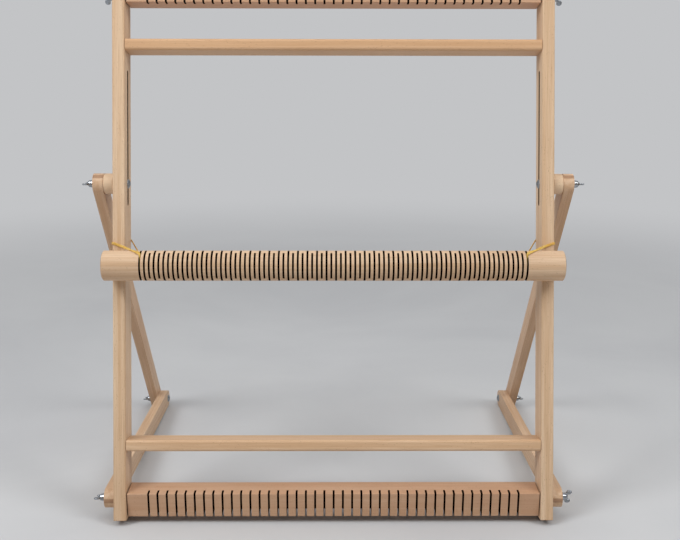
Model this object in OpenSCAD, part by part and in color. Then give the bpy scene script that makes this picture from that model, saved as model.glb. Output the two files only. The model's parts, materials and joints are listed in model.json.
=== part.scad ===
// Tabletop frame loom in light beech: two slotted beams that turn between uprights, on a
// hinged stand, with a round rotating heddle bar held in front by two rubber bands.
// Millimetres. +X is the viewer's right, -Y faces the viewer and +Z is up.

/* [Frame] */
// Width over the outer faces of the two uprights
frame_w = 596; // [580:1:640]
// Length of an upright
upright_len = 741; // [720:1:780]
// Thickness of an upright, across the loom
upright_t = 17; // [16:0.5:20]
// Depth of the uprights and crossbars, front to back
frame_depth = 40; // [38:1:44]
// Radius on the long edges of the uprights
upright_round = 2; // [1:0.5:3]
// How far the frame leans back from the vertical
lean = 12.5; // [8:0.5:16]

/* [Beams and crossbars] */
// Height of the slotted top and bottom beams
beam_h = 34; // [32:1:36]
// Depth of the beams, front to back
beam_d = 34; // [32:1:36]
// Distance from an upright's end to the nearer stud
stud_inset = 27.5; // [26:0.5:32]
// Distance from a beam's inner side, which faces the other beam, to its stud holes
beam_stud_offset = 13.5; // [12:0.5:17]
// How far the bottom beam is turned on its studs, with its upper edge forward
bottom_beam_turn = 14.5; // [-20:0.5:20]
// Gap between each end of a beam and the upright
beam_end_gap = 1.4; // [0.6:0.1:2]
// Number of warp slots in each beam
beam_kerfs = 41; // [31:2:41]
// Spacing of the warp slots in the beams
beam_pitch = 12.55; // [10:0.05:12.6]
// Depth of the beams' warp slots at the inner side
beam_kerf_depth = 10; // [8:0.5:11]
// Depth of the beams' warp slots at the outer side
beam_kerf_deep = 21; // [12:0.5:22]
// Width of every saw-cut warp slot
kerf_w = 2.6; // [2.2:0.1:3]
// Height of the two plain crossbars
crossbar_h = 15.5; // [14:0.5:18]
// Distance from an upright's lower end to the middle of the lower crossbar
lower_crossbar_inset = 101.5; // [95:0.5:110]
// Distance from an upright's upper end to the middle of the upper crossbar
upper_crossbar_inset = 98; // [90:0.5:110]
// Radius on the long edges of the crossbars
crossbar_round = 4; // [2:0.5:5]

/* [Heddle bar] */
// Diameter of the round heddle bar
heddle_d = 40; // [36:1:44]
// Length of the heddle bar
heddle_len = 610; // [600:1:640]
// Height of the heddle bar's axis, measured along the upright
heddle_u = 345.5; // [300:0.5:380]
// Depth of the shallow slots and of the two band grooves
heddle_shallow = 9.5; // [8:0.5:10]
// Depth of the deep slots, cut to the axis
heddle_deep = 20; // [18:0.5:20]

/* [Stand] */
// Thickness of the feet, struts and spacers, across the loom
stand_t = 14; // [12:0.5:16]
// Height of the feet and struts, whose ends are half round
stand_h = 28; // [26:1:30]
// Distance between the two bolt holes of a foot
foot_span = 420; // [400:1:440]
// Height of the slot bolt, measured along the upright
slot_bolt_u = 457; // [445:1:500]
// Lower end of the upright's slot, measured along the upright
slot_low = 427; // [420:1:435]
// Upper end of the upright's slot, measured along the upright
slot_high = 611.5; // [600:0.5:615]
// Width of the upright's slot
slot_w = 7.6; // [7.4:0.1:9]

/* [Fasteners] */
// Diameter of the bolts and studs
bolt_d = 5; // [4.6:0.1:5]
// Diameter of the bolts' domed heads
head_d = 13; // [12:0.5:14]
// Height of the bolts' domed heads
head_h = 3.3; // [2.8:0.1:3.6]
// Span of a wing nut over its wings
nut_span = 26; // [24:0.5:28]
// Height of a wing nut
nut_h = 13; // [12:0.5:14]
// Diameter of the plain washers
washer_d = 10.5; // [10:0.5:13]
// Thickness of the plain washers
washer_t = 1.1; // [0.9:0.1:1.4]
// Radial running clearance on pins and in nuts
fit_gap = 0.08; // [0.05:0.01:0.1]
// Air between wooden faces that slide past each other
side_gap = 0.3; // [0.2:0.05:0.4]
// Air under a wing nut or washer that turns against its neighbour
nut_gap = 0.15; // [0.1:0.01:0.2]

/* [Rubber bands] */
// Width of a band where it lies flat on the upright
band_w = 3.6; // [3:0.1:4]
// Width of a band inside the heddle bar's groove
band_groove_w = 1.6; // [1.2:0.1:1.7]
// Thickness of a band
band_t = 1.1; // [0.9:0.1:1.2]

/* [Hidden] */
$fn = 64;
beech = "#d9b48a";
dark_beech = "#c69c70";
zinc = "#c9ccd0";
band_yellow = "#d9b45a";

// Half widths of the layers from the middle of the loom outwards
half_w = frame_w / 2;
inner_x = half_w - upright_t;
foot_x = half_w + side_gap;
strut_x = foot_x + stand_t + side_gap;
strut_outer_x = strut_x + stand_t;

// Seats of the wing nuts, over their washers
top_seat = half_w + washer_t + nut_gap;
bottom_washer_x = foot_x + stand_t + nut_gap;
bottom_seat = bottom_washer_x + washer_t + nut_gap;
slot_seat = strut_outer_x + washer_t + nut_gap;
rear_washer_x = strut_outer_x + nut_gap;
rear_seat = rear_washer_x + washer_t + nut_gap;

// Stations along the upright
upper_stud_u = upright_len - stud_inset;
lower_crossbar_u = lower_crossbar_inset;
upper_crossbar_u = upright_len - upper_crossbar_inset;
mid_v = frame_depth / 2;

// Pivot A is the lower stud, pivot B the rear bolt and C the slot bolt, all as [y, z]
stand_r = stand_h / 2;
frame_z = frame_depth * sin(lean);
function placed(u, v) = [u * sin(lean) + v * cos(lean), frame_z + u * cos(lean) - v * sin(lean)];
a_raw = placed(stud_inset, mid_v);
foot_tilt = asin((a_raw[1] - stand_r) / foot_span);
rear_raw = a_raw[0] + foot_span * cos(foot_tilt) + stand_r;
// The frame's lowest front edge and the feet's rear ends lie equally far from the origin
frame_y = -rear_raw / 2;
pivot_a = a_raw + [frame_y, 0];
pivot_b = pivot_a + foot_span * [cos(foot_tilt), -sin(foot_tilt)];
pivot_c = placed(slot_bolt_u, mid_v) + [frame_y, 0];
pivot_top = placed(upper_stud_u, mid_v) + [frame_y, 0];
strut_span = norm(pivot_c - pivot_b);
strut_angle = atan2(pivot_c[1] - pivot_b[1], pivot_c[0] - pivot_b[0]);

// Heddle bar
heddle_r = heddle_d / 2;
heddle_v = -heddle_r - side_gap;
heddle_pitch = beam_pitch / 2;
heddle_kerfs = 2 * beam_kerfs;
groove_x = (heddle_kerfs - 1) * heddle_pitch / 2;
core_r = heddle_r - heddle_shallow;
end_chamfer = 1;

// Beams
beam_half = inner_x - beam_end_gap;
beam_round = 1;
beam_front = -beam_d / 2;
beam_low = beam_stud_offset - beam_h;

// Fasteners
bolt_r = bolt_d / 2;
hole_r = bolt_r + fit_gap;
stud_bury = 25;
stud_past_nut = 1.5;
hub_h = 6.5;
hub_r = 5.5;
dowel_r = 4;
dowel_len = 30;
dowel_in_upright = 12;
dowel_fit = 0.02;
dowel_vs = [frame_depth * 0.3, frame_depth * 0.7];
over = 1;

// How far each wing nut is turned, in degrees from wings level front to back
turn_top_left = -78;
turn_top_right = -84;
turn_bottom_left = -15;
turn_bottom_right = -64;
turn_slot_left = -3;
turn_slot_right = -7;
turn_rear_left = -12;
turn_rear_right = -12;

// Places children drawn with x across, y front to back and z up the leaning frame
module in_frame() {
    translate([0, frame_y, frame_z]) rotate([-lean, 0, 0]) children();
}

// Places children drawn on the right-hand side; side is 1 for right and -1 for left
module on_side(side) {
    if (side > 0) children();
    else mirror([1, 0, 0]) children();
}

// Rectangle with round corners, made of squares and circles so that its edges stay exact
module round_rect(w, h, r) {
    translate([r, 0]) square([w - 2 * r, h]);
    translate([0, r]) square([w, h - 2 * r]);
    for (x = [r, w - r], y = [r, h - r]) translate([x, y]) circle(r);
}

// Cylinder along +X from x0 to x1
module x_rod(x0, x1, r) {
    translate([x0, 0, 0]) rotate([0, 90, 0]) cylinder(h = x1 - x0, r = r);
}

// One upright on the right-hand side, in the frame's axes
module upright_blank() {
    translate([inner_x, 0, 0]) linear_extrude(upright_len)
        round_rect(upright_t, frame_depth, upright_round);
}

module slot_cutter() {
    slot_r = slot_w / 2;
    for (u = [slot_low + slot_r, slot_high - slot_r])
        translate([0, mid_v, u]) x_rod(inner_x - over, half_w + over, slot_r);
    translate([inner_x - over, mid_v - slot_r, slot_low + slot_r])
        cube([upright_t + 2 * over, slot_w, slot_high - slot_low - slot_w]);
}

module upright(side) {
    color(beech) in_frame() on_side(side) difference() {
        upright_blank();
        slot_cutter();
        for (u = [stud_inset, upper_stud_u])
            translate([0, mid_v, u]) x_rod(inner_x - over, half_w + over, hole_r);
        for (u = [lower_crossbar_u, upper_crossbar_u], v = dowel_vs)
            translate([0, v, u]) x_rod(inner_x - over, inner_x + dowel_in_upright, dowel_r + dowel_fit);
    }
}

// Prism along +X from x0 to x1 over the outline [y, z]
module x_prism(x0, x1, outline) {
    translate([x0, 0, 0]) rotate([90, 0, 90]) linear_extrude(x1 - x0) polygon(outline);
}

// Beam drawn about its studs' axis, with its slotted face towards -Y and its inner side up.
// The saw runs in deeper towards the outer side.
module beam_body() {
    slope = (beam_kerf_deep - beam_kerf_depth) / beam_h;
    floor_high = beam_front + beam_kerf_depth - slope * over;
    floor_low = beam_front + beam_kerf_deep + slope * over;
    above = beam_stud_offset + over;
    below = beam_low - over;
    difference() {
        translate([-beam_half, 0, 0]) rotate([90, 0, 90]) linear_extrude(2 * beam_half)
            translate([beam_front, beam_low]) round_rect(beam_d, beam_h, beam_round);
        for (i = [0 : beam_kerfs - 1]) {
            x = (i - (beam_kerfs - 1) / 2) * beam_pitch;
            x_prism(x - kerf_w / 2, x + kerf_w / 2, [[beam_front - over, below],
                [floor_low, below], [floor_high, above], [beam_front - over, above]]);
        }
        for (side = [-1, 1]) on_side(side)
            x_rod(beam_half - stud_bury - over, beam_half + over, bolt_r + dowel_fit);
    }
}

module bottom_beam() {
    color(dark_beech) in_frame() translate([0, mid_v, stud_inset])
        rotate([bottom_beam_turn, 0, 0]) beam_body();
}

// The top beam is the same piece with its inner side turned down
module top_beam() {
    color(dark_beech) in_frame() translate([0, mid_v, upper_stud_u])
        mirror([0, 0, 1]) beam_body();
}

module crossbar(u) {
    color(beech) in_frame() translate([0, 0, u]) difference() {
        translate([-inner_x, 0, -crossbar_h / 2]) rotate([90, 0, 90])
            linear_extrude(2 * inner_x) round_rect(frame_depth, crossbar_h, crossbar_round);
        for (side = [-1, 1], v = dowel_vs) on_side(side) translate([0, v, 0])
            x_rod(inner_x - (dowel_len - dowel_in_upright) - over, inner_x + over, dowel_r + dowel_fit);
    }
}

module crossbar_dowels(u) {
    dowel_out = inner_x + dowel_in_upright - dowel_fit;
    color(dark_beech) in_frame() for (side = [-1, 1], v = dowel_vs)
        on_side(side) translate([0, v, u]) x_rod(dowel_out - dowel_len, dowel_out, dowel_r);
}

// Double-ended stud screwed into a beam's end; its free end carries a wing nut
module stud(side, u, seat_x) {
    color(zinc) in_frame() on_side(side) translate([0, mid_v, u])
        x_rod(beam_half - stud_bury, seat_x + hub_h + stud_past_nut, bolt_r);
}

module washer(side, x, at) {
    color(zinc) on_side(side) translate([x, at[0], at[1]]) rotate([0, 90, 0])
        difference() {
            cylinder(h = washer_t, d = washer_d);
            translate([0, 0, -over]) cylinder(h = washer_t + 2 * over, r = hole_r);
        }
}

// The washers that stay with the frame: two at the upper studs and two outside the feet
module frame_washers() {
    for (side = [-1, 1]) {
        washer(side, half_w, pivot_top);
        washer(side, bottom_washer_x, pivot_a);
    }
}

// Bar with half-round ends and a hole at each end, drawn from the origin along +Y
module link_bar(x0, span) {
    difference() {
        union() {
            x_rod(x0, x0 + stand_t, stand_r);
            translate([0, span, 0]) x_rod(x0, x0 + stand_t, stand_r);
            translate([x0, 0, -stand_r]) cube([stand_t, span, stand_h]);
        }
        for (y = [0, span]) translate([0, y, 0]) x_rod(x0 - over, x0 + stand_t + over, hole_r);
    }
}

module foot(side) {
    color(beech) on_side(side) translate([0, pivot_a[0], pivot_a[1]])
        rotate([-foot_tilt, 0, 0]) link_bar(foot_x, foot_span);
}

module strut(side) {
    color(beech) on_side(side) translate([0, pivot_b[0], pivot_b[1]])
        rotate([strut_angle, 0, 0]) link_bar(strut_x, strut_span);
}

// Round spacer that fills the foot's thickness between the upright and the strut
module spacer(side) {
    edge = 1.2;
    thick = strut_x - foot_x;
    color(beech) on_side(side) translate([foot_x, pivot_c[0], pivot_c[1]]) rotate([0, 90, 0])
        rotate_extrude() polygon([[hole_r, 0], [stand_r - edge, 0], [stand_r, edge],
            [stand_r, thick - edge], [stand_r - edge, thick], [hole_r, thick]]);
}

// Domed-head bolt along +X, with the head's flat at x = 0 and the dome inwards
module dome_bolt(shank) {
    dome_r = (head_h * head_h + head_d * head_d / 4) / (2 * head_h);
    intersection() {
        translate([dome_r - head_h, 0, 0]) sphere(dome_r);
        x_rod(-head_h - over, 0, head_d / 2);
    }
    x_rod(0, shank, bolt_r);
}

module rear_bolt(side) {
    shank = rear_seat + hub_h + stud_past_nut - foot_x;
    color(zinc) on_side(side) translate([foot_x, pivot_b[0], pivot_b[1]]) dome_bolt(shank);
}

module slot_bolt(side) {
    head_x = inner_x - side_gap;
    shank = slot_seat + hub_h + stud_past_nut - head_x;
    color(zinc) on_side(side) translate([head_x, pivot_c[0], pivot_c[1]]) dome_bolt(shank);
}

// Wing nut with its seat at x = 0 and its wings along +Y and -Y before it is turned
module wing_nut_body() {
    ear_r = nut_h * 0.3;
    ear_x = nut_h - ear_r;
    ear_y = nut_span / 2 - ear_r;
    wing_t = 2.2;
    neck_r = hub_r * 0.8;
    difference() {
        union() {
            rotate([0, 90, 0]) rotate_extrude() polygon([[0, 0], [hub_r, 0], [neck_r, hub_h - 0.6],
                [neck_r - 0.6, hub_h], [0, hub_h]]);
            for (turn = [0, 180]) rotate([turn, 0, 0]) translate([0, 0, -wing_t / 2])
                linear_extrude(wing_t) {
                    translate([ear_x, ear_y]) circle(ear_r);
                    polygon([[1, neck_r - 1], [1, hub_r + 0.8], [ear_x - ear_r * 0.8, ear_y + ear_r * 0.6],
                        [ear_x + ear_r * 0.62, ear_y - ear_r * 0.78], [hub_h - 0.8, neck_r - 1]]);
                }
        }
        x_rod(-over, nut_h, hole_r);
    }
}

// Wing nut seated at seat_x over the point [y, z]
module wing_nut(side, seat_x, at, turn) {
    color(zinc) on_side(side) translate([seat_x, at[0], at[1]])
        rotate([turn, 0, 0]) wing_nut_body();
}

// The heddle bar's slots alternate: shallow in front and deep behind, then the reverse.
// The outermost slot at each end is a groove all the way round for the rubber band.
module heddle_cuts() {
    for (i = [1 : heddle_kerfs - 2]) {
        front = i % 2 == 0 ? heddle_shallow : heddle_deep;
        back = i % 2 == 0 ? heddle_deep : heddle_shallow;
        x = (i - (heddle_kerfs - 1) / 2) * heddle_pitch - kerf_w / 2;
        translate([x, -heddle_r - over, -heddle_r - over])
            cube([kerf_w, front + over, heddle_d + 2 * over]);
        translate([x, heddle_r - back, -heddle_r - over])
            cube([kerf_w, back + over, heddle_d + 2 * over]);
    }
    for (side = [-1, 1]) translate([side * groove_x - kerf_w / 2, 0, 0]) rotate([0, 90, 0])
        difference() {
            cylinder(h = kerf_w, r = heddle_r + over);
            cylinder(h = kerf_w, r = core_r);
        }
}

module heddle_bar() {
    tip = heddle_r - end_chamfer;
    color(dark_beech) in_frame() translate([0, heddle_v, heddle_u]) difference() {
        translate([-heddle_len / 2, 0, 0]) rotate([0, 90, 0]) rotate_extrude()
            polygon([[0, 0], [tip, 0], [heddle_r, end_chamfer],
                [heddle_r, heddle_len - end_chamfer], [tip, heddle_len], [0, heddle_len]]);
        heddle_cuts();
    }
}

// Rubber band: one closed flat loop round the upright and round the heddle bar's groove.
// Each route point is [x, y, z, normal x, normal y, normal z, width] in the frame's axes.
band_off = side_gap + band_t / 2;
band_corner = upright_round + band_off;
corner_in = inner_x + upright_round;
corner_out = half_w - upright_round;
corner_back = frame_depth - upright_round;
corner_step = 22.5;
groove_band_r = core_r + band_off;
groove_step = 12;
on_bar_r = heddle_r + band_off;
lifted_r = groove_band_r + 0.8;
half_way_r = (groove_band_r + on_bar_r) / 2;
// The band climbs from front_u at the upright's front to back_u at its back
front_u = heddle_u + 25;
side_front_u = front_u + 4.8;
side_back_u = front_u + 7.4;
back_u = front_u + 9.5;
// Angles round the bar are measured from its back, over its top
front_mouth = 132;
over_top = 100;
back_mouth = 7;
back_touch = -51;
function on_corner(x, y, z, a) = [x + band_corner * cos(a), y + band_corner * sin(a), z,
    cos(a), sin(a), 0, band_w];
function round_bar(x, a, r, w) = [x, heddle_v + r * cos(a), heddle_u + r * sin(a),
    0, cos(a), sin(a), w];
function on_groove(a, r) = round_bar(groove_x, a, r, band_groove_w);
// The straight run from the bar's back to where the band first touches the groove's floor
function run_in(a) = on_groove(a, groove_band_r / cos(a - back_touch));
function thin(p) = [p[0], p[1], p[2], p[3], p[4], p[5], band_groove_w];
function between(p, q, t) = p * (1 - t) + q * t;
front_start = [inner_x + 2, -band_off, front_u, 0, -1, 0, band_w];
back_leave = thin(on_corner(corner_in, corner_back, back_u, 147));
across_top = groove_x + 14;
band_route = concat(
    [front_start],
    [for (a = [-90 : corner_step : 0]) on_corner(corner_out, upright_round, side_front_u, a)],
    [for (a = [0 : corner_step : 90]) on_corner(corner_out, corner_back, side_back_u, a)],
    [for (a = [90 : 20 : 130]) on_corner(corner_in, corner_back, back_u, a)],
    [for (t = [0 : 0.25 : 1]) between(back_leave, run_in(back_mouth), t)],
    [for (a = [-6 : -14 : -34]) run_in(a)],
    [for (a = [back_touch : -groove_step : -165]) on_groove(a, groove_band_r)],
    [on_groove(-182, lifted_r), on_groove(-208, half_way_r), on_groove(front_mouth, on_bar_r)],
    [for (t = [0.34 : 0.33 : 1]) round_bar(groove_x + (across_top - groove_x) * t,
        front_mouth + (over_top - front_mouth) * t, on_bar_r,
        band_groove_w + (band_w - band_groove_w) * t)],
    [for (t = [0.3 : 0.3 : 0.9]) between(round_bar(across_top, over_top, on_bar_r, band_w),
        front_start, t)]);
function wrap(list, i) = list[(i + len(list)) % len(list)];
function spot(p) = [p[0], p[1], p[2]];
function unit(v) = v / norm(v);
band_sides = 8;
function band_ring(i) =
    let (p = band_route[i],
        ahead = unit(unit(spot(wrap(band_route, i + 1)) - spot(p))
            + unit(spot(p) - spot(wrap(band_route, i - 1)))),
        raw = [p[3], p[4], p[5]],
        up = unit(raw - ahead * (raw * ahead)),
        across = cross(ahead, up))
    [for (k = [0 : band_sides - 1])
        let (a = (k + 0.5) * 360 / band_sides, reach = 1 / cos(180 / band_sides))
        spot(p) + across * cos(a) * reach * p[6] / 2 + up * sin(a) * reach * band_t / 2];

module band(side) {
    count = len(band_route);
    points = [for (i = [0 : count - 1]) each band_ring(i)];
    faces = [for (i = [0 : count - 1], k = [0 : band_sides - 1])
        let (j = (i + 1) % count, m = (k + 1) % band_sides,
            a = i * band_sides + k, b = i * band_sides + m,
            c = j * band_sides + m, d = j * band_sides + k)
        each [[a, b, c], [a, c, d]]];
    color(band_yellow) in_frame() on_side(side) polyhedron(points, faces);
}

upright(-1);  // left_upright
upright(1);  // right_upright
top_beam();
bottom_beam();
crossbar(upper_crossbar_u);  // upper_crossbar
crossbar(lower_crossbar_u);  // lower_crossbar
crossbar_dowels(upper_crossbar_u);  // upper_crossbar_dowels
crossbar_dowels(lower_crossbar_u);  // lower_crossbar_dowels
stud(-1, upper_stud_u, top_seat);  // top_left_stud
stud(1, upper_stud_u, top_seat);  // top_right_stud
stud(-1, stud_inset, bottom_seat);  // bottom_left_stud
stud(1, stud_inset, bottom_seat);  // bottom_right_stud
foot(-1);  // left_foot
foot(1);  // right_foot
strut(-1);  // left_strut
strut(1);  // right_strut
rear_bolt(-1);  // left_rear_bolt
rear_bolt(1);  // right_rear_bolt
slot_bolt(-1);  // left_slot_bolt
slot_bolt(1);  // right_slot_bolt
spacer(-1);  // left_spacer
spacer(1);  // right_spacer
frame_washers();
washer(-1, rear_washer_x, pivot_b);  // left_rear_washer
washer(1, rear_washer_x, pivot_b);  // right_rear_washer
washer(-1, strut_outer_x, pivot_c);  // left_slot_washer
washer(1, strut_outer_x, pivot_c);  // right_slot_washer
wing_nut(-1, top_seat, pivot_top, turn_top_left);  // top_left_wing_nut
wing_nut(1, top_seat, pivot_top, turn_top_right);  // top_right_wing_nut
wing_nut(-1, bottom_seat, pivot_a, turn_bottom_left);  // bottom_left_wing_nut
wing_nut(1, bottom_seat, pivot_a, turn_bottom_right);  // bottom_right_wing_nut
wing_nut(-1, slot_seat, pivot_c, turn_slot_left);  // left_slot_wing_nut
wing_nut(1, slot_seat, pivot_c, turn_slot_right);  // right_slot_wing_nut
wing_nut(-1, rear_seat, pivot_b, turn_rear_left);  // left_rear_wing_nut
wing_nut(1, rear_seat, pivot_b, turn_rear_right);  // right_rear_wing_nut
heddle_bar();
band(-1);  // left_band
band(1);  // right_band
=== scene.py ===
"""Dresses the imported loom: beech, zinc-plated hardware, rubber bands, floor, light and camera.

Lengths are millimetres up to the point where a mesh is made, and metres after it. Points marked
(x, v, u) are in the leaning frame's axes: x across, v back from its front face, u up its uprights.
"""
import json
import math

import bpy
import bmesh
from mathutils import Matrix, Vector


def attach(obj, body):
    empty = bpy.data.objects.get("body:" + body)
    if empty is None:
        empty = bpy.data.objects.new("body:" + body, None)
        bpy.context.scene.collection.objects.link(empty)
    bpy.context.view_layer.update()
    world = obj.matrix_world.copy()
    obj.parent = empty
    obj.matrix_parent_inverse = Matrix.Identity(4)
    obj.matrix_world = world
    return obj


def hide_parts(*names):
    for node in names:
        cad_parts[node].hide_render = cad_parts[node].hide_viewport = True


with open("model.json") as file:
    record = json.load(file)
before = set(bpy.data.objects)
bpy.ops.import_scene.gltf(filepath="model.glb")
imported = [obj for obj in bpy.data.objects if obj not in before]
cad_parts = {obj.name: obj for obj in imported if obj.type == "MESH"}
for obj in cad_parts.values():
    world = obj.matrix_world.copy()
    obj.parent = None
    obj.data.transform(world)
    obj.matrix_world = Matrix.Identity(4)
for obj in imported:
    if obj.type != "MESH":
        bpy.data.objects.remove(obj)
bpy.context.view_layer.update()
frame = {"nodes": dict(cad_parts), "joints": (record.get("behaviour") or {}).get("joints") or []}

MM = 0.001
nodes = frame["nodes"]
joints = {j["name"]: j for j in frame["joints"]}

# The frame
LEAN = math.radians(12.5)
FRAME_DEPTH = 40.0
FRAME_W = 596.0
HALF_W = FRAME_W / 2
UPRIGHT_T = 17.0
UPRIGHT_LEN = 741.0
UPRIGHT_ROUND = 2.0
INNER_X = HALF_W - UPRIGHT_T
SLOT_LOW, SLOT_HIGH, SLOT_W = 427.0, 611.5, 7.6
SIDE_GAP = 0.3

# The warp beams, about their studs' axis
STUD_INSET = 27.5
BEAM_HALF = 279.6
BEAM_H = 34.0
BEAM_STUD_OFFSET = 13.5
BOTTOM_BEAM_TURN = math.radians(14.5)
KERF_PITCH = 12.55
KERF_HALF = 1.33
BEAM_KERFS = 41
BEAM_FRONT = -17.0
KERF_SHALLOW, KERF_DEEP = 10.0, 21.0

# The heddle bar
HEDDLE_U = 345.5
HEDDLE_R = 20.0
HEDDLE_V = -HEDDLE_R - SIDE_GAP
HEDDLE_HALF = 305.0
BAR_GROOVE_DEPTH = 9.5
BAR_PITCH = KERF_PITCH / 2
GROOVE_X = 40.5 * BAR_PITCH

# The stand and the fasteners
STAND_T = 14.0
STAND_R = 14.0
WASHER_T = 1.1
NUT_GAP = 0.15
SHANK_R = 2.5


def joint_point(name):
    return Vector(joints[name]["pos_m"])


# The foot pivot sits at v = half the depth, u = the studs' inset, so it gives the frame's origin
FRAME_ROTATION = Matrix.Rotation(-LEAN, 3, "X")
foot_pivot = joint_point("frame_tilt")
FRAME_ORIGIN = foot_pivot - FRAME_ROTATION @ Vector((0, FRAME_DEPTH / 2, STUD_INSET)) * MM
FRAME_ORIGIN.x = 0.0


def in_frame(x, v, u):
    """A point of the leaning frame, in metres."""
    return FRAME_ORIGIN + FRAME_ROTATION @ Vector((x, v, u)) * MM


# Node trees

def new_material(name):
    material = bpy.data.materials.new(name)
    material.use_nodes = True
    tree = material.node_tree
    tree.nodes.clear()
    output = tree.nodes.new("ShaderNodeOutputMaterial")
    shader = tree.nodes.new("ShaderNodeBsdfPrincipled")
    tree.links.new(shader.outputs[0], output.inputs[0])
    return material, tree, shader


def feed(tree, socket, value):
    """Links an output socket, or sets a plain value."""
    if isinstance(value, bpy.types.NodeSocket):
        tree.links.new(value, socket)
    elif value is not None:
        socket.default_value = value


def calc(tree, operation, a, b=None, c=None):
    node = tree.nodes.new("ShaderNodeMath")
    node.operation = operation
    for socket, value in zip(node.inputs, (a, b, c)):
        feed(tree, socket, value)
    return node.outputs[0]


def span(tree, value, low, high, to_low=0.0, to_high=1.0):
    """Maps value smoothly from low..high to to_low..to_high, held at both ends."""
    node = tree.nodes.new("ShaderNodeMapRange")
    node.interpolation_type = "SMOOTHSTEP"
    node.clamp = True
    for socket, v in zip(node.inputs, (value, low, high, to_low, to_high)):
        feed(tree, socket, v)
    return node.outputs[0]


def mix(tree, factor, a, b):
    node = tree.nodes.new("ShaderNodeMix")
    node.data_type = "RGBA"
    node.clamp_factor = True
    feed(tree, node.inputs[0], factor)
    feed(tree, node.inputs[6], a)
    feed(tree, node.inputs[7], b)
    return node.outputs[2]


def vector(tree, x, y, z):
    node = tree.nodes.new("ShaderNodeCombineXYZ")
    for socket, value in zip(node.inputs, (x, y, z)):
        feed(tree, socket, value)
    return node.outputs[0]


def length(tree, x, y):
    """Distance of (x, y) from the axis where both are 0."""
    return calc(tree, "SQRT", calc(tree, "MULTIPLY_ADD", x, x, calc(tree, "MULTIPLY", y, y)))


def scaled(tree, coords, factors, shift=(0, 0, 0)):
    node = tree.nodes.new("ShaderNodeMapping")
    feed(tree, node.inputs["Vector"], coords)
    node.inputs["Scale"].default_value = factors
    node.inputs["Location"].default_value = shift
    return node.outputs[0]


def noise(tree, coords, factors, shift=(0, 0, 0), detail=3.0, rough=0.5, distort=0.0):
    """Noise on coords times factors, so a small factor draws it out along that axis."""
    node = tree.nodes.new("ShaderNodeTexNoise")
    feed(tree, node.inputs["Vector"], scaled(tree, coords, factors, shift))
    node.inputs["Scale"].default_value = 1.0
    node.inputs["Detail"].default_value = detail
    node.inputs["Roughness"].default_value = rough
    node.inputs["Distortion"].default_value = distort
    return node.outputs[0]


def bump(tree, shader, height, strength, depth_mm, chain=None):
    """Bumps the shader's surface, on top of an earlier bump where chain gives one."""
    node = tree.nodes.new("ShaderNodeBump")
    node.inputs["Strength"].default_value = strength
    node.inputs["Distance"].default_value = depth_mm * MM
    feed(tree, node.inputs["Height"], height)
    if chain is not None:
        tree.links.new(chain, node.inputs["Normal"])
    tree.links.new(node.outputs[0], shader.inputs["Normal"])
    return node.outputs[0]


def srgb(r, g, b):
    """An 8-bit sRGB colour as the linear RGBA that a socket takes."""
    channels = [c / 255 for c in (r, g, b)]
    linear = [c / 12.92 if c <= 0.04045 else ((c + 0.055) / 1.055) ** 2.4 for c in channels]
    return (*linear, 1.0)


def piece_axes(tree, origin, tilt):
    """Millimetres in a piece's own axes: origin is in metres, tilt is its turn about X."""
    coords = tree.nodes.new("ShaderNodeTexCoord").outputs["Object"]
    node = tree.nodes.new("ShaderNodeMapping")
    node.vector_type = "TEXTURE"
    feed(tree, node.inputs["Vector"], coords)
    node.inputs["Location"].default_value = origin
    node.inputs["Rotation"].default_value = (tilt, 0, 0)
    node.inputs["Scale"].default_value = (MM, MM, MM)
    split = tree.nodes.new("ShaderNodeSeparateXYZ")
    tree.links.new(node.outputs[0], split.inputs[0])
    return split.outputs


# Beech

BEECH_LIGHT = srgb(230, 202, 170)
BEECH_MID = srgb(216, 182, 146)
BEECH_DARK = srgb(178, 139, 103)
BEECH_PINK = srgb(190, 143, 112)
BEECH_AMBER = srgb(207, 158, 112)
FLECK = srgb(128, 90, 64)
END_GRAIN = srgb(160, 122, 92)
# Near black for the insides of the saw slots and the uprights' slot walls: painted shade, for the
# little light that reaches into the narrow cuts.
SLOT_SHADE_TONE = srgb(22, 9, 4)
BEECH_SHINE = 0.35


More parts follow.
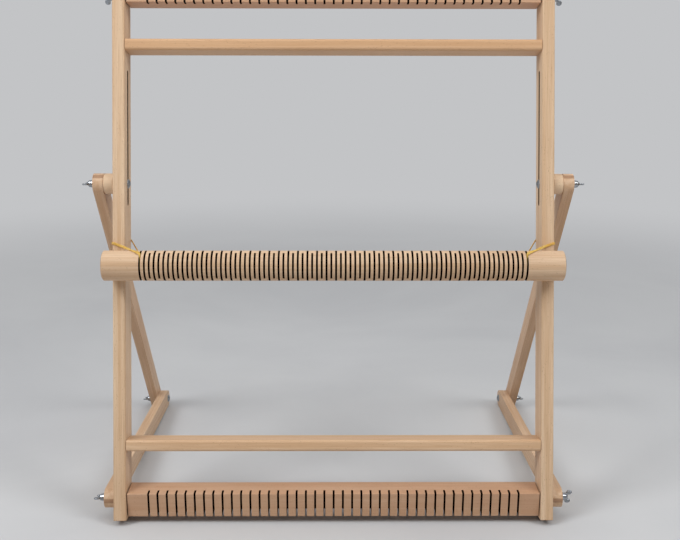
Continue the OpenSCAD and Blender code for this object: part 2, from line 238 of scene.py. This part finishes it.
def beech(name, origin, tilt, grain, seed, ends, cast, kerfs=None):
    """Beech with its grain along one axis of the piece, "x", "y" or "z".

    ends holds the two stations along the grain where end grain shows, or is None. cast is the tone
    that this piece leans towards, and how far. kerfs takes the tree and the axes and gives a mask
    of the slots, where shade is painted in: near black, without sheen.
    """
    material, tree, shader = new_material(name)
    x, y, z = piece_axes(tree, origin, tilt)
    a, b, along = {"x": (y, z, x), "y": (x, z, y), "z": (x, y, z)}[grain]
    coords = vector(tree, a, b, along)
    shift = (seed * 17.3, seed * 41.9, seed * 7.7)

    # Broad growth bands that wander slowly along the grain
    wander = noise(tree, coords, (0.02, 0.02, 0.004), shift, 2.0)
    bands = noise(tree, coords, (0.16, 0.22, 0.0022), shift, 3.0, 0.55, 0.35)
    # Fine fibres
    fibres = noise(tree, coords, (1.5, 1.7, 0.022), shift, 4.0, 0.6)
    hairs = noise(tree, coords, (5.0, 5.0, 0.09), shift, 3.0, 0.6)
    # Short dark ray flecks
    cells = tree.nodes.new("ShaderNodeTexVoronoi")
    feed(tree, cells.inputs["Vector"], scaled(tree, coords, (0.75, 0.75, 0.17), shift))
    cells.inputs["Scale"].default_value = 1.0
    fleck_room = noise(tree, coords, (0.3, 0.3, 0.05), shift, 1.0)
    fleck = span(tree, cells.outputs["Distance"], 0.10, 0.24, 1.0, 0.0)
    fleck = calc(tree, "MULTIPLY", fleck, span(tree, fleck_room, 0.42, 0.62))

    tone = mix(tree, span(tree, bands, 0.36, 0.66), BEECH_LIGHT, BEECH_MID)
    tone = mix(tree, span(tree, wander, 0.35, 0.75, 0.0, 0.45), tone, BEECH_DARK)
    tone = mix(tree, span(tree, fibres, 0.42, 0.72, 0.0, 0.50), tone, BEECH_DARK)
    tone = mix(tree, span(tree, hairs, 0.3, 0.7, 0.10, 0.0), tone, BEECH_DARK)
    tone = mix(tree, cast[1], tone, cast[0])
    tone = mix(tree, calc(tree, "MULTIPLY", fleck, 0.55), tone, FLECK)
    if ends is not None:
        near_low = span(tree, along, ends[0] + 0.15, ends[0] + 0.6, 1.0, 0.0)
        near_high = span(tree, along, ends[1] - 0.6, ends[1] - 0.15)
        at_end = calc(tree, "MAXIMUM", near_low, near_high)
        pores = noise(tree, coords, (2.2, 2.2, 0.2), shift, 4.0, 0.7)
        end_tone = mix(tree, span(tree, pores, 0.35, 0.7), END_GRAIN, FLECK)
        tone = mix(tree, calc(tree, "MULTIPLY", at_end, 0.75), tone, end_tone)
    rough = span(tree, fibres, 0.3, 0.8, 0.46, 0.60)
    shine = BEECH_SHINE
    # Painted shade: inside the slots the wood is painted near black and loses its sheen, as if no
    # light reached in.
    if kerfs is not None:
        slot_shade = kerfs(tree, x, y, z)
        tone = mix(tree, slot_shade, tone, SLOT_SHADE_TONE)
        rough = calc(tree, "MAXIMUM", rough, calc(tree, "MULTIPLY", slot_shade, 0.9))
        shine = calc(tree, "MULTIPLY_ADD", slot_shade, -BEECH_SHINE, BEECH_SHINE)
    feed(tree, shader.inputs["Base Color"], tone)
    feed(tree, shader.inputs["Roughness"], rough)
    feed(tree, shader.inputs["Specular IOR Level"], shine)
    coarse = bump(tree, shader, fibres, 0.22, 0.25)
    bump(tree, shader, calc(tree, "SUBTRACT", hairs, fleck), 0.16, 0.12, coarse)
    return material


# How softly a mask ends across a cut, and how far it reaches past the cut's floor
MASK_BLUR = 0.06
MASK_OVER = 0.12


def saw_phase(tree, x, pitch, first):
    """1 within half a saw cut of a slot's middle, where the slots run from -first to first."""
    phase = calc(tree, "PINGPONG", calc(tree, "ADD", x, first), pitch / 2)
    across = span(tree, phase, KERF_HALF, KERF_HALF + MASK_BLUR, 1.0, 0.0)
    inside = calc(tree, "LESS_THAN", calc(tree, "ABSOLUTE", x), first + KERF_HALF)
    return calc(tree, "MULTIPLY", across, inside)


def beam_kerfs(flip):
    """Mask of a beam's saw slots, where shade is painted in: shallow at its inner side, where flip
    * z is highest.
    """
    slope = (KERF_DEEP - KERF_SHALLOW) / BEAM_H
    level = BEAM_FRONT + KERF_SHALLOW + slope * BEAM_STUD_OFFSET
    last = (BEAM_KERFS - 1) / 2 * KERF_PITCH

    def mask(tree, x, y, z):
        up = calc(tree, "MULTIPLY", z, flip)
        floor = calc(tree, "MULTIPLY_ADD", up, -slope, level + MASK_OVER)
        in_cut = calc(tree, "LESS_THAN", y, floor)
        return calc(tree, "MULTIPLY", saw_phase(tree, x, KERF_PITCH, last), in_cut)
    return mask


def bar_kerfs(tree, x, y, z):
    """Mask of the heddle bar's saw slots, where shade is painted in; they are cut at half the
    beams' spacing.
    """
    below = span(tree, length(tree, y, z), HEDDLE_R - 0.45, HEDDLE_R - 0.1, 1.0, 0.0)
    return calc(tree, "MULTIPLY", saw_phase(tree, x, BAR_PITCH, GROOVE_X), below)


def upright_slot(tree, x, y, z):
    """Mask of the walls of an upright's slot, where painted shade makes them near black."""
    from_middle = calc(tree, "ABSOLUTE", calc(tree, "SUBTRACT", y, FRAME_DEPTH / 2))
    near = span(tree, from_middle, SLOT_W / 2 + 0.1, SLOT_W / 2 + 0.2, 1.0, 0.0)
    along = calc(tree, "MULTIPLY", calc(tree, "GREATER_THAN", z, SLOT_LOW - 0.5),
                 calc(tree, "LESS_THAN", z, SLOT_HIGH + 0.5))
    side = calc(tree, "ABSOLUTE", x)
    inside = calc(tree, "MULTIPLY", span(tree, side, INNER_X + 0.1, INNER_X + 0.5),
                  span(tree, side, HALF_W - 0.5, HALF_W - 0.1, 1.0, 0.0))
    return calc(tree, "MULTIPLY", calc(tree, "MULTIPLY", near, along),
                calc(tree, "MULTIPLY", inside, 0.95))


# Metal and rubber

THREAD_PITCH = 0.8


def zinc(name, seed=0.0, thread_axis=None):
    """Bright zinc plate over steel, with a faint blue and straw bloom.

    thread_axis is a point of the piece's axis, in metres: its shank then shows a thread.
    """
    material, tree, shader = new_material(name)
    coords = tree.nodes.new("ShaderNodeTexCoord").outputs["Object"]
    shift = (seed, seed * 1.7, seed * 0.3)
    cloud = noise(tree, coords, (260,) * 3, shift, 3.0, 0.55)
    grit = noise(tree, coords, (2600,) * 3, shift, 3.0, 0.6)
    tone = mix(tree, span(tree, cloud, 0.35, 0.65), srgb(172, 177, 184), srgb(146, 148, 150))
    tone = mix(tree, span(tree, cloud, 0.55, 0.8, 0.0, 0.3), tone, srgb(168, 160, 138))
    feed(tree, shader.inputs["Base Color"], tone)
    shader.inputs["Metallic"].default_value = 1.0
    feed(tree, shader.inputs["Roughness"], span(tree, grit, 0.3, 0.75, 0.26, 0.42))
    grain = bump(tree, shader, grit, 0.25, 0.05)
    if thread_axis is not None:
        x, y, z = piece_axes(tree, thread_axis, 0.0)
        turn = calc(tree, "ARCTAN2", z, y)
        climb = calc(tree, "MULTIPLY_ADD", turn, THREAD_PITCH / math.tau, x)
        ridge = calc(tree, "PINGPONG", climb, THREAD_PITCH / 2)
        on_shank = span(tree, length(tree, y, z), SHANK_R + 0.05, SHANK_R + 0.1, 1.0, 0.0)
        bump(tree, shader, calc(tree, "MULTIPLY", ridge, on_shank), 1.0, 1.0, grain)
    return material


def band_rubber(name):
    """Natural rubber: ochre, letting a little light through, with a fine bloom."""
    material, tree, shader = new_material(name)
    coords = tree.nodes.new("ShaderNodeTexCoord").outputs["Object"]
    cloud = noise(tree, coords, (160, 160, 160))
    lines = noise(tree, coords, (2500, 700, 700), rough=0.6)
    tone = mix(tree, span(tree, cloud, 0.35, 0.7), srgb(222, 184, 92), srgb(203, 160, 66))
    tone = mix(tree, span(tree, lines, 0.4, 0.8, 0.0, 0.3), tone, srgb(232, 204, 128))
    feed(tree, shader.inputs["Base Color"], tone)
    feed(tree, shader.inputs["Roughness"], span(tree, lines, 0.3, 0.7, 0.38, 0.52))
    shader.inputs["Subsurface Weight"].default_value = 0.35
    shader.inputs["Subsurface Radius"].default_value = (0.9, 0.55, 0.2)
    shader.inputs["Subsurface Scale"].default_value = 0.0012
    bump(tree, shader, lines, 0.2, 0.05)
    return material


# Mesh helpers

def new_piece(name, bm, material, body):
    """Turns a bmesh into a piece; it rides on a body unless that is None."""
    bmesh.ops.recalc_face_normals(bm, faces=bm.faces)
    mesh = bpy.data.meshes.new(name)
    bm.to_mesh(mesh)
    bm.free()
    mesh.materials.append(material)
    mesh.shade_smooth()
    piece = bpy.data.objects.new(name, mesh)
    bpy.context.scene.collection.objects.link(piece)
    if body is not None:
        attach(piece, body)
    return piece


def loft(bm, rings, closed=False):
    """Joins rings of equal length with quads; open lofts get end caps."""
    made = [[bm.verts.new(p) for p in ring] for ring in rings]
    count = len(made[0])
    pairs = list(zip(made, made[1:]))
    if closed:
        pairs.append((made[-1], made[0]))
    for low, high in pairs:
        for i in range(count):
            j = (i + 1) % count
            bm.faces.new((low[i], low[j], high[j], high[i]))
    if not closed:
        bm.faces.new(made[0][::-1])
        bm.faces.new(made[-1])


# The wooden pieces

def beech_on_frame(name, grain, seed, ends, cast, kerfs=None):
    return beech(name, in_frame(0, 0, 0), -LEAN, grain, seed, ends, cast, kerfs)


def dress(node, material):
    """Gives a CAD node its material."""
    mesh = nodes[node].data
    mesh.materials.clear()
    mesh.materials.append(material)


def ease(node, width_mm):
    """Rounds a CAD node's sharp edges, as sanding does."""
    bevel = nodes[node].modifiers.new("eased edges", "BEVEL")
    bevel.width = width_mm * MM
    bevel.segments = 2
    bevel.limit_method = "ANGLE"
    bevel.angle_limit = math.radians(35)
    bevel.harden_normals = True


for index, side in enumerate(("left", "right")):
    dress(f"{side}_upright", beech_on_frame(f"beech_{side}_upright", "z", 1 + index,
                                            (0, UPRIGHT_LEN), (BEECH_AMBER, 0.05), upright_slot))
    ease(f"{side}_upright", 0.6)
beam_ends = (-BEAM_HALF, BEAM_HALF)
# The beams lean to a pinker, darker beech: partly the wood's own tone, partly painted shade.
BEAM_TONE_AND_SHADE = (BEECH_PINK, 0.6)
dress("bottom_beam", beech("beech_bottom_beam", in_frame(0, FRAME_DEPTH / 2, STUD_INSET),
                           BOTTOM_BEAM_TURN - LEAN, "x", 3, beam_ends, BEAM_TONE_AND_SHADE, beam_kerfs(1)))
dress("top_beam", beech("beech_top_beam", in_frame(0, FRAME_DEPTH / 2, UPRIGHT_LEN - STUD_INSET),
                        -LEAN, "x", 4, beam_ends, BEAM_TONE_AND_SHADE, beam_kerfs(-1)))
for index, (bar, amount) in enumerate((("upper", 0.55), ("lower", 0.25))):
    dress(f"{bar}_crossbar", beech_on_frame(f"beech_{bar}_crossbar", "x", 5 + index,
                                            (-INNER_X, INNER_X), (BEECH_AMBER, amount)))
    dress(f"{bar}_crossbar_dowels", beech_on_frame(f"beech_{bar}_dowels", "x", 7 + index,
                                                   (-290, 290), (BEECH_PINK, 0.3)))

# The grain of feet and struts runs along Y of their own axes, which start at a pivot
rear_pivot = joint_point("left_strut_pivot")
foot_run = rear_pivot - foot_pivot
foot_angle = math.atan2(foot_run.z, foot_run.y)
slot_pivot = joint_point("left_slot_wing_nut_turn")
strut_run = slot_pivot - rear_pivot
strut_angle = math.atan2(strut_run.z, strut_run.y)
foot_len = math.hypot(foot_run.y, foot_run.z) / MM
strut_len = math.hypot(strut_run.y, strut_run.z) / MM
for index, side in enumerate(("left", "right")):
    dress(f"{side}_foot", beech(f"beech_{side}_foot", (0, foot_pivot.y, foot_pivot.z), foot_angle,
                                "y", 11 + index, (-STAND_R, foot_len + STAND_R),
                                (BEECH_PINK, 0.18)))
    dress(f"{side}_strut", beech(f"beech_{side}_strut", (0, rear_pivot.y, rear_pivot.z),
                                 strut_angle, "y", 13 + index, (-STAND_R, strut_len + STAND_R),
                                 (BEECH_PINK, 0.25)))
    dress(f"{side}_spacer", beech(f"beech_{side}_spacer", (0, slot_pivot.y, slot_pivot.z), -LEAN,
                                  "x", 15 + index, None, (BEECH_LIGHT, 0.6)))
    ease(f"{side}_foot", 1.0)
    ease(f"{side}_strut", 1.0)

bar_centre = joint_point("heddle_turn")
dress("heddle_bar", beech("beech_heddle_bar", bar_centre, -LEAN, "x", 17,
                          (-HEDDLE_HALF, HEDDLE_HALF), (BEECH_PINK, 0.1), bar_kerfs))

# Fasteners

steel = zinc("zinc_plate")
for name in nodes:
    if "washer" in name:
        dress(name, steel)
threaded = {
    "top_nut": (in_frame(0, FRAME_DEPTH / 2, UPRIGHT_LEN - STUD_INSET),
                ("top_left_stud", "top_right_stud")),
    "bottom_nut": (foot_pivot, ("bottom_left_stud", "bottom_right_stud")),
    "slot": (slot_pivot, ("left_slot_bolt", "right_slot_bolt")),
    "rear": (rear_pivot, ("left_rear_bolt", "right_rear_bolt")),
}
for index, (where, (axis, names)) in enumerate(threaded.items()):
    metal = zinc(f"zinc_{where}_thread", 1.0 + index, (0, axis.y, axis.z))
    for name in names:
        dress(name, metal)

HUB_H = 6.5
WING_T = 2.2


def nut_hub(bm):
    """Tapered hub with a chamfered bore, turned about X, in millimetres."""
    outline = ((0.0, 3.0), (0.0, 5.3), (0.2, 5.5), (0.9, 5.5), (5.7, 4.5), (6.25, 4.3),
               (HUB_H, 4.0), (HUB_H, 3.1), (6.0, 2.6), (0.5, 2.6))
    count = 56
    rings = [[Vector((x, r * math.cos(a), r * math.sin(a)))
              for a in (math.tau * k / count for k in range(count))] for x, r in outline]
    loft(bm, rings, closed=True)


def nut_wing(bm, turn):
    """One wing: a leaf that leaves the hub wide, narrows, and ends in a round ear."""
    outline = [(0.6, 3.4), (0.6, 6.2), (3.2, 6.9), (5.6, 8.1)]
    ear, ear_r = (9.1, 9.1), 3.9
    outline += [(ear[0] + ear_r * math.cos(a), ear[1] + ear_r * math.sin(a))
                for a in (math.radians(d) for d in range(150, -61, -14))]
    outline += [(8.8, 5.2), (6.9, 4.2), (6.0, 3.4)]
    middle = Vector((5.5, 7.5, 0))
    # The leaf's edge is drawn in towards its two faces
    upper = ((0.18, 0.0), (0.4, 0.12), (0.5, 0.45))
    lower = tuple((-z, inset) for z, inset in reversed(upper))
    layers = []
    for z, inset in lower + upper:
        layer = []
        for x, y in outline:
            point = Vector((x, y, 0))
            inward = (middle - point).normalized() * inset
            layer.append(turn @ (point + inward + Vector((0, 0, z * WING_T))))
        layers.append(layer)
    loft(bm, layers)


def nut_mesh():
    """Hub and wings fused into one casting, in metres."""
    bm = bmesh.new()
    nut_hub(bm)
    for degrees in (0, 180):
        nut_wing(bm, Matrix.Rotation(math.radians(degrees), 3, "X"))
    draft = new_piece("nut_draft", bm, steel, None)
    fuse = draft.modifiers.new("fuse", "REMESH")
    fuse.mode = "VOXEL"
    fuse.voxel_size = 0.24
    soften = draft.modifiers.new("soften", "SMOOTH")
    soften.factor = 0.5
    soften.iterations = 3
    lighter = draft.modifiers.new("lighter", "DECIMATE")
    lighter.ratio = 0.35
    bpy.context.view_layer.update()
    graph = bpy.context.evaluated_depsgraph_get()
    mesh = bpy.data.meshes.new_from_object(draft.evaluated_get(graph))
    bpy.data.objects.remove(draft)
    mesh.name = "wing_nut"
    mesh.transform(Matrix.Scale(MM, 4))
    mesh.materials.clear()
    mesh.materials.append(steel)
    mesh.shade_smooth()
    return mesh


# Each nut's distance from the middle
FOOT_X = HALF_W + SIDE_GAP
STRUT_OUT = FOOT_X + 2 * STAND_T + SIDE_GAP
nut_seats = {
    "top": HALF_W + WASHER_T + NUT_GAP,
    "bottom": FOOT_X + STAND_T + WASHER_T + 2 * NUT_GAP,
    "slot": STRUT_OUT + WASHER_T + NUT_GAP,
    "rear": STRUT_OUT + WASHER_T + 2 * NUT_GAP,
}
# How far each nut is turned, in degrees from wings level front to back
nut_turns = {
    "top_left": -78, "top_right": -84, "bottom_left": -15, "bottom_right": -64,
    "left_slot": -3, "right_slot": -7, "left_rear": -12, "right_rear": -12,
}
shared_nut = nut_mesh()
for name, degrees in nut_turns.items():
    node = f"{name}_wing_nut"
    seat = next(x for where, x in nut_seats.items() if where in name)
    centre = joint_point(f"{node}_turn")
    side = -1 if "left" in name else 1
    piece = bpy.data.objects.new(f"{name}_nut", shared_nut)
    bpy.context.scene.collection.objects.link(piece)
    mirror = Matrix.Diagonal((side, 1, 1, 1))
    turn = mirror @ Matrix.Rotation(math.radians(degrees), 4, "X") @ mirror
    half = Matrix.Rotation(math.pi if side < 0 else 0.0, 4, "Y")
    piece.matrix_world = Matrix.Translation((side * seat * MM, centre.y, centre.z)) @ turn @ half
    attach(piece, node)
    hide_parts(node)

# Rubber bands, one closed loop round the upright and the bar's outermost groove

BAND_T = 1.1
BAND_W = 3.6
BAND_GROOVE_W = 1.7
# From a surface to the band's middle line
BAND_OFF = 0.3 + BAND_T / 2
CORNER = UPRIGHT_ROUND + BAND_OFF
GROOVE_R = HEDDLE_R - BAR_GROOVE_DEPTH + BAND_OFF
BAR_R = HEDDLE_R + BAND_OFF
# Where the band crosses the upright's front, and the angle at which it meets the groove behind
FRONT_U = HEDDLE_U + 25.0
BACK_TOUCH = -51
# The corners' axes of the upright, and how far the band has climbed at each
INNER_EDGE = INNER_X + UPRIGHT_ROUND
OUTER_EDGE = HALF_W - UPRIGHT_ROUND
FRONT_V = UPRIGHT_ROUND
BACK_V = FRAME_DEPTH - UPRIGHT_ROUND
OUTER_FRONT_U, OUTER_BACK_U, INNER_BACK_U = (FRONT_U + rise for rise in (4.8, 7.4, 9.5))


def band_route():
    """Stations (point, outward direction, width, thickness) of the right-hand band."""
    def corner(x, y, z, degrees, width=BAND_W):
        a = math.radians(degrees)
        out = Vector((math.cos(a), math.sin(a), 0))
        return Vector((x, y, z)) + out * CORNER, out, width, BAND_T

    def round_bar(x, degrees, r, width=BAND_GROOVE_W, thick=BAND_T):
        a = math.radians(degrees)
        out = Vector((0, math.cos(a), math.sin(a)))
        return Vector((x, HEDDLE_V, HEDDLE_U)) + out * r, out, width, thick

    def run_in(degrees):
        reach = GROOVE_R / math.cos(math.radians(degrees - BACK_TOUCH))
        return round_bar(GROOVE_X, degrees, reach)

    def between(p, q, t):
        return tuple(a.lerp(b, t) if isinstance(a, Vector) else a * (1 - t) + b * t
                     for a, b in zip(p, q))

    start = (Vector((INNER_EDGE, -BAND_OFF, FRONT_U)), Vector((0, -1, 0)), BAND_W, BAND_T)
    leave = corner(INNER_EDGE, BACK_V, INNER_BACK_U, 147, 2.0)
    lifted, half_way = GROOVE_R + 0.8, (GROOVE_R + BAR_R) / 2
    top = round_bar(GROOVE_X + 14, 100, BAR_R, 4.2, 1.2)
    route = [start]
    route += [corner(OUTER_EDGE, FRONT_V, OUTER_FRONT_U, a) for a in range(-90, 1, 15)]
    route += [corner(OUTER_EDGE, BACK_V, OUTER_BACK_U, a) for a in range(0, 91, 15)]
    route += [corner(INNER_EDGE, BACK_V, INNER_BACK_U, a) for a in (90, 110, 130)]
    route += [between(leave, run_in(7), t) for t in (0, 0.25, 0.5, 0.75, 1)]
    route += [run_in(a) for a in (-6, -20, -34)]
    route += [round_bar(GROOVE_X, a, GROOVE_R) for a in range(BACK_TOUCH, -166, -8)]
    route += [round_bar(GROOVE_X, a, r) for a, r in ((-182, lifted), (-208, half_way))]
    # The band bunches up where it leaves the groove, then spreads out over the bar
    route += [round_bar(GROOVE_X + step, a, BAR_R + rise, width, thick)
              for step, a, rise, width, thick in
              ((0.0, 137, 0.0, 2.0, 1.4), (1.2, 131, 0.25, 4.4, 1.8), (4.0, 124, 0.2, 5.0, 1.7),
               (7.5, 116, 0.1, 4.8, 1.5), (11.0, 108, 0.05, 4.5, 1.3))]
    route += [top]
    route += [between(top, start, t) for t in (0.3, 0.6, 0.9)]
    return route


def band_piece(name, side, body):
    """The band swept along its route with rounded edges, in metres."""
    route = band_route()
    count = len(route)
    rings = []
    sides = 16
    squareness = 0.6
    for i, (point, out, width, thickness) in enumerate(route):
        ahead = ((route[(i + 1) % count][0] - point).normalized()
                 + (point - route[i - 1][0]).normalized()).normalized()
        up = (out - ahead * out.dot(ahead)).normalized()
        across = ahead.cross(up)
        ring = []
        for k in range(sides):
            a = math.tau * (k + 0.5) / sides
            flat = math.copysign(abs(math.cos(a)) ** squareness, math.cos(a))
            thick = math.copysign(abs(math.sin(a)) ** squareness, math.sin(a))
            spot = point + across * flat * width / 2 + up * thick * thickness / 2
            ring.append(in_frame(side * spot.x, spot.y, spot.z))
        rings.append(ring)
    bm = bmesh.new()
    loft(bm, rings, closed=True)
    piece = new_piece(name, bm, rubber, body)
    finer = piece.modifiers.new("rounder", "SUBSURF")
    finer.levels = 1
    finer.render_levels = 1
    return piece


rubber = band_rubber("natural_rubber")
for side, word in ((-1, "left"), (1, "right")):
    piece = band_piece(f"{word}_rubber_band", side, "heddle_bands")
    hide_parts(f"{word}_band")

# Floor, backdrop, light and camera

BACKDROP = srgb(195, 196, 198)
# In metres: half the floor's side, its drop below the feet, and where it starts and ends to turn
# into the backdrop
FLOOR_HALF = 40.0
FLOOR_DROP = 0.0002
BLEND_NEAR, BLEND_FAR = 0.85, 2.7


def plain_floor():
    """Pale floor that turns into the backdrop's tone far from the loom."""
    material, tree, shader = new_material("pale_floor")
    coords = tree.nodes.new("ShaderNodeTexCoord").outputs["Object"]
    cloud = noise(tree, coords, (1.4, 1.4, 1.4), detail=4.0, rough=0.55, distort=0.6)
    grain = noise(tree, coords, (90, 90, 90), rough=0.6)
    tone = mix(tree, span(tree, cloud, 0.3, 0.7), srgb(206, 207, 208), srgb(196, 197, 199))
    feed(tree, shader.inputs["Base Color"], tone)
    feed(tree, shader.inputs["Roughness"], span(tree, grain, 0.3, 0.7, 0.68, 0.78))
    shader.inputs["Specular IOR Level"].default_value = 0.25
    far = tree.nodes.new("ShaderNodeEmission")
    far.inputs["Color"].default_value = BACKDROP
    away = tree.nodes.new("ShaderNodeVectorMath")
    away.operation = "LENGTH"
    tree.links.new(coords, away.inputs[0])
    blend = tree.nodes.new("ShaderNodeMixShader")
    feed(tree, blend.inputs[0], span(tree, away.outputs["Value"], BLEND_NEAR, BLEND_FAR))
    tree.links.new(shader.outputs[0], blend.inputs[1])
    tree.links.new(far.outputs[0], blend.inputs[2])
    output = next(n for n in tree.nodes if n.type == "OUTPUT_MATERIAL")
    tree.links.new(blend.outputs[0], output.inputs[0])
    bm = bmesh.new()
    corners = [bm.verts.new((sx * FLOOR_HALF, sy * FLOOR_HALF, 0)) for sx, sy in
               ((-1, -1), (1, -1), (1, 1), (-1, 1))]
    bm.faces.new(corners)
    floor = new_piece("floor", bm, material, None)
    floor.location.z = -FLOOR_DROP


plain_floor()


def soft_world():
    """The backdrop's tone where the camera sees it; elsewhere pale behind the loom and above it,
    and dark towards the camera, for the metal to mirror."""
    world = bpy.data.worlds.new("studio")
    bpy.context.scene.world = world
    world.use_nodes = True
    tree = world.node_tree
    tree.nodes.clear()
    output = tree.nodes.new("ShaderNodeOutputWorld")
    seen = tree.nodes.new("ShaderNodeBackground")
    seen.inputs["Color"].default_value = BACKDROP
    lit = tree.nodes.new("ShaderNodeBackground")
    direction = tree.nodes.new("ShaderNodeTexCoord").outputs["Generated"]
    split = tree.nodes.new("ShaderNodeSeparateXYZ")
    tree.links.new(direction, split.inputs[0])
    behind = span(tree, split.outputs[1], -0.35, 0.3, 0.14, 0.50)
    above = span(tree, split.outputs[2], 0.25, 0.9, 0.0, 0.45)
    lit.inputs["Color"].default_value = srgb(210, 211, 213)
    feed(tree, lit.inputs["Strength"], calc(tree, "ADD", behind, above))
    blend = tree.nodes.new("ShaderNodeMixShader")
    path = tree.nodes.new("ShaderNodeLightPath")
    tree.links.new(path.outputs["Is Camera Ray"], blend.inputs[0])
    tree.links.new(lit.outputs[0], blend.inputs[1])
    tree.links.new(seen.outputs[0], blend.inputs[2])
    tree.links.new(blend.outputs[0], output.inputs[0])


soft_world()


def softbox(name, place, target, size, power):
    """A rectangular lamp at a place, turned to a target, in metres and watts."""
    light = bpy.data.lights.new(name, "AREA")
    light.shape = "RECTANGLE"
    light.size, light.size_y = size
    light.energy = power
    lamp = bpy.data.objects.new(name, light)
    lamp.location = place
    lamp.rotation_euler = (Vector(target) - Vector(place)).to_track_quat("-Z", "Y").to_euler()
    bpy.context.scene.collection.objects.link(lamp)


softbox("top_box", (0, -0.5, 2.4), (0, 0.05, 0.2), (2.2, 1.3), 11)
softbox("left_box", (-1.7, -1.3, 1.9), (0, -0.1, 0.42), (1.0, 1.0), 31)
softbox("right_box", (1.7, -1.2, 1.9), (0, -0.1, 0.42), (1.0, 1.0), 23)

# The camera, as fitted to the photo: focal length in its pixels, place from the uprights' front
# edge at the floor
PHOTO_WIDTH_PX = 680
FOCAL_PX = 955.9
CAMERA_AHEAD = 1181.3
CAMERA_HEIGHT = 638.1
CAMERA_SIDE = -0.5
YAW, PITCH, ROLL = (math.radians(a) for a in (0.41, 13.36, 0.11))
camera_data = bpy.data.cameras.new("camera")
camera_data.sensor_width = 36.0
camera_data.lens = FOCAL_PX / PHOTO_WIDTH_PX * camera_data.sensor_width
camera = bpy.data.objects.new("camera", camera_data)
bpy.context.scene.collection.objects.link(camera)
front_edge = in_frame(0, 0, 0)
place = Vector((CAMERA_SIDE * MM, front_edge.y - CAMERA_AHEAD * MM, CAMERA_HEIGHT * MM))
turn = (Matrix.Rotation(-YAW, 4, "Z") @ Matrix.Rotation(math.pi / 2 - PITCH, 4, "X")
        @ Matrix.Rotation(ROLL, 4, "Z"))
camera.matrix_world = Matrix.Translation(place) @ turn
bpy.context.scene.camera = camera
bpy.context.scene.view_settings.view_transform = "Standard"
